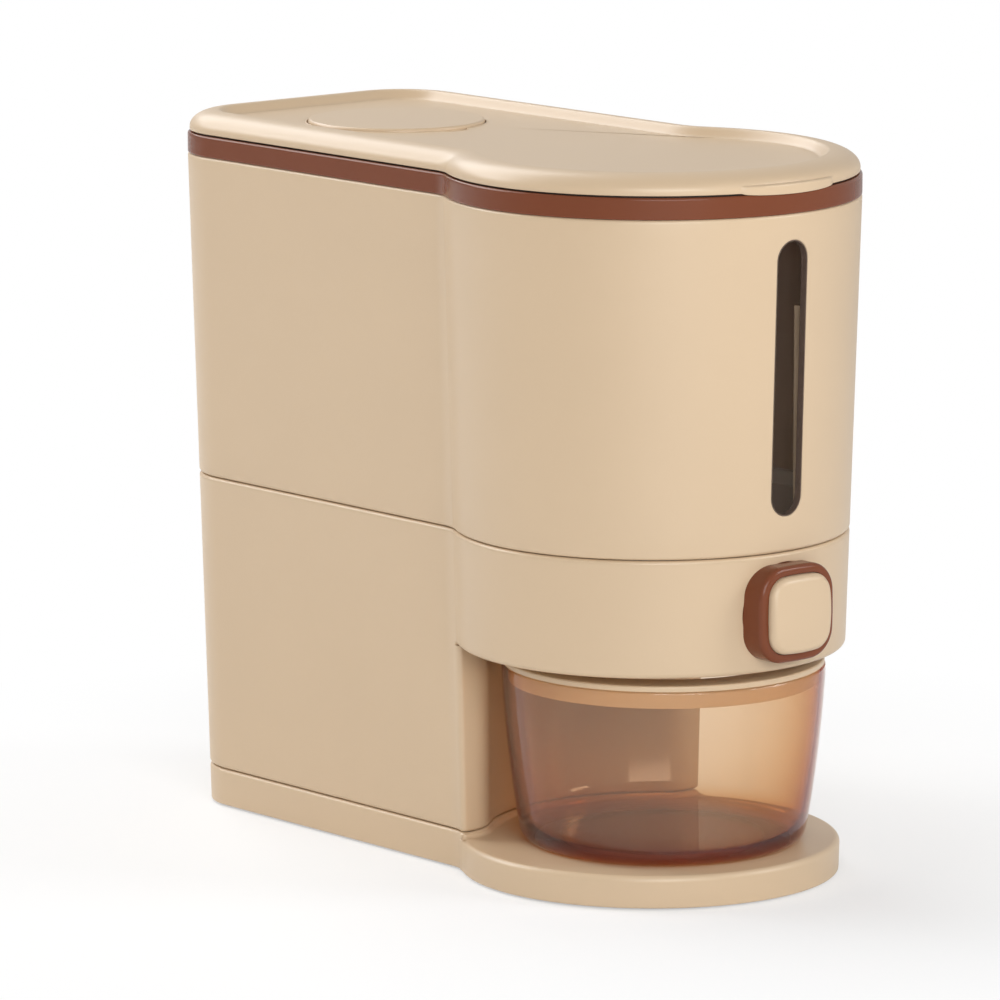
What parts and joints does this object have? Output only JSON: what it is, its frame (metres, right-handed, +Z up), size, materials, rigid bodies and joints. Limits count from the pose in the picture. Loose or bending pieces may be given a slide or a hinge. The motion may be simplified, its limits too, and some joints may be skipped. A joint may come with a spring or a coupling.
{
  "type": "rice dispenser",
  "caption": "Countertop rice dispenser: leaning keyhole-shaped bin with a lift-off lid, a tall window and a push-button gate that drops rice into a clear cup on a tray.",
  "frame": {"origin": "on the floor, under the middle of the whole length and width", "axes": "+Z up, front with the button and the cup towards -Y, +X to the right seen from the front"},
  "size_m": [0.18, 0.349, 0.315],
  "materials": {
    "body_plastic": "beige satin moulding",
    "brown_plastic": "brown gloss moulding",
    "smoked_window": "smoked clear",
    "clear_cup": "brown clear",
    "inner_plastic": "pale moulding",
    "soft_seal": "soft dark",
    "foot_rubber": "matt black",
    "spring_steel": "bright wire",
    "screw_steel": "zinc plated"
  },
  "bodies": {
    "housing": {"base": "body_plastic", "rubber_feet": "foot_rubber", "base_screws": "screw_steel", "lower_housing": "body_plastic", "upper_bin": "body_plastic", "bin_screws": "screw_steel", "hopper_floor": "inner_plastic", "throat_wiper": "soft_seal", "gate_guide": "inner_plastic", "guide_screws": "screw_steel", "return_spring": "spring_steel", "outlet_spout": "inner_plastic", "button_bezel": "brown_plastic", "window_lens": "smoked_window", "window_gasket": "soft_seal", "band": "brown_plastic"},
    "lid": {"lid": "body_plastic", "lid_seal": "soft_seal"},
    "round_cap": {"round_cap": "body_plastic", "round_cap_seal": "soft_seal", "moisture_basket": "inner_plastic"},
    "button": {"button_cap": "body_plastic", "gate": "inner_plastic"},
    "cup": {"cup": "clear_cup", "cup_collar": "body_plastic"}
  },
  "joints": [
    {"name": "lid_lift", "type": "slide", "parent": "housing", "child": "lid", "axis": [0, 0, 1], "range_m": [0, 0.12]},
    {"name": "round_cap_lift", "type": "slide", "parent": "lid", "child": "round_cap", "axis": [0, 0, 1], "range_m": [0, 0.06]},
    {"name": "button_press", "type": "slide", "parent": "housing", "child": "button", "axis": [0, 1, 0], "range_m": [0, 0.013], "stiffness_N_per_m": 250, "springref_m": -0.012, "deforming": ["return_spring"]},
    {"name": "cup_slide", "type": "slide", "parent": "housing", "child": "cup", "axis": [0, -1, 0], "range_m": [0, 0.2]}
  ]
}
